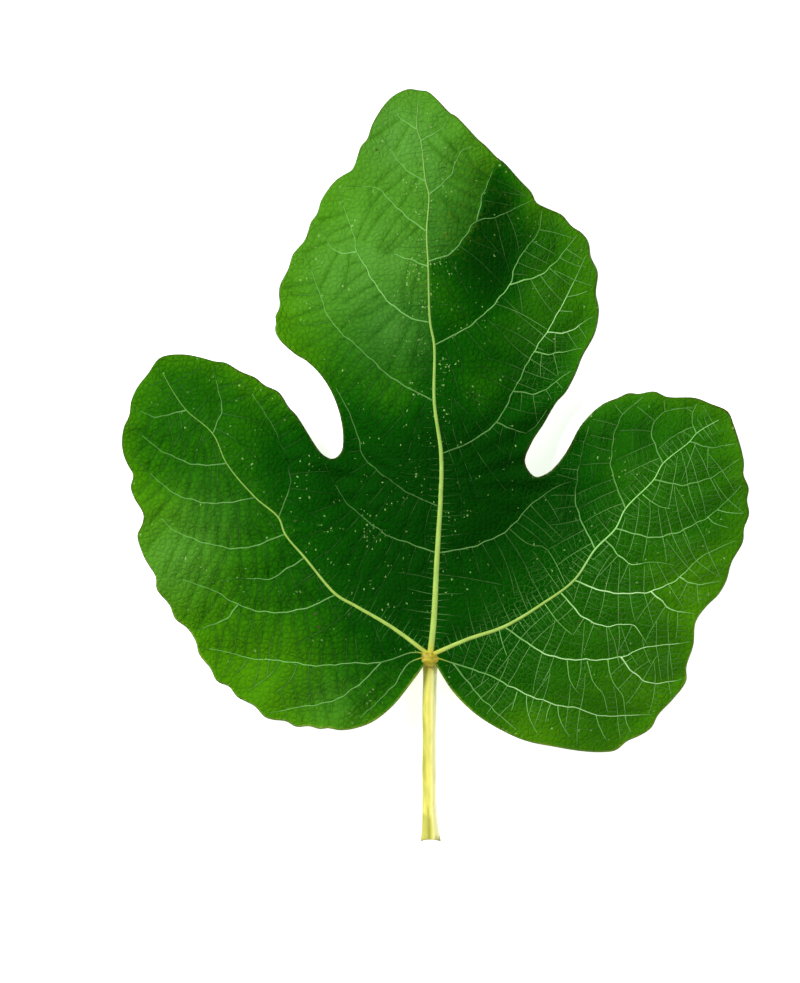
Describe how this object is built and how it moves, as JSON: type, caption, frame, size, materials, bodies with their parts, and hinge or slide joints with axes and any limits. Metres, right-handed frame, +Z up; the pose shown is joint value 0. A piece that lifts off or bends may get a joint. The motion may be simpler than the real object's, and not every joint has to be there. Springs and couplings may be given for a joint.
{
  "type": "fig leaf",
  "caption": "Single lobed fig leaf with a scalloped edge, branching ribs and a cut stalk, lying face up.",
  "frame": {"origin": "middle of the leaf's box, on the surface that it lies on", "axes": "+Y from the stalk to the tip of the middle lobe, +X to the right seen from above, +Z up out of the upper face"},
  "size_m": [0.166, 0.1996, 0.0118],
  "materials": {
    "blade_green": null,
    "stalk_pale": null
  },
  "bodies": {
    "root": {"leaf_blade": "blade_green", "leaf_stalk_and_ribs": "stalk_pale"}
  },
  "joints": []
}
